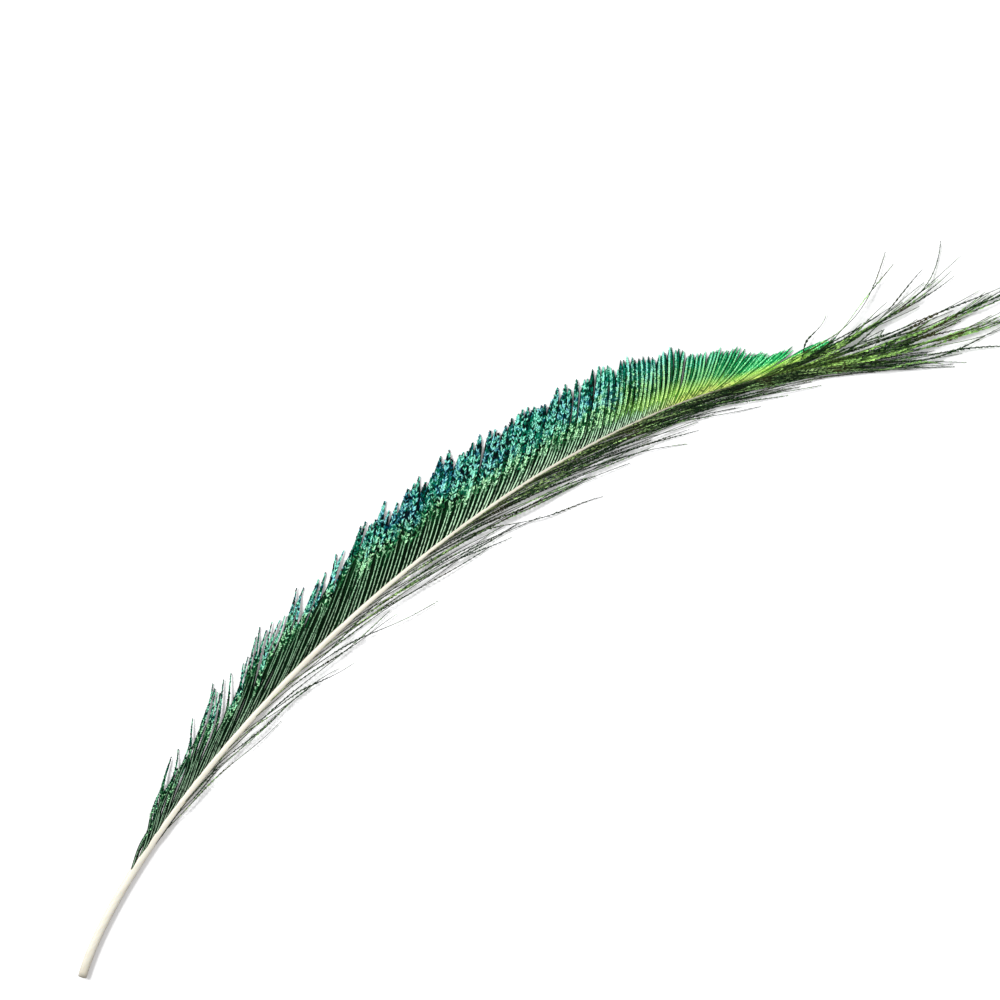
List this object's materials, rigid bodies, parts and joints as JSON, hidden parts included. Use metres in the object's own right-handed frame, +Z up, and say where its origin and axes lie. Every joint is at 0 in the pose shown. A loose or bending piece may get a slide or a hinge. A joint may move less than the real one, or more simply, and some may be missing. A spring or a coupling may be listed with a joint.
{
  "type": "peacock sword feather",
  "caption": "Curved feather lying flat: an ivory shaft with a broad iridescent green vane on its outer side, sparse long barbs inside and a tassel of loose strands at the tip.",
  "frame": {"origin": "middle of the bounding box of the underside, on the surface that the feather lies on", "axes": "+X from the cut quill end towards the tip, +Y towards the broad vane, +Z up out of the coloured face"},
  "size_m": [0.3548, 0.0844, 0.0025],
  "materials": {
    "vane": "iridescent green barbs: teal and blue towards the outer edge, yellow-green beside the shaft near the tip, with a metallic sheen",
    "shaft": "satin ivory keratin, tan in the shade and brown-grey towards the tip",
    "strands": "dark green and brown loose barbs with pale thin shafts and beaded glints"
  },
  "bodies": {
    "root": {"feather": "vane"}
  },
  "joints": []
}
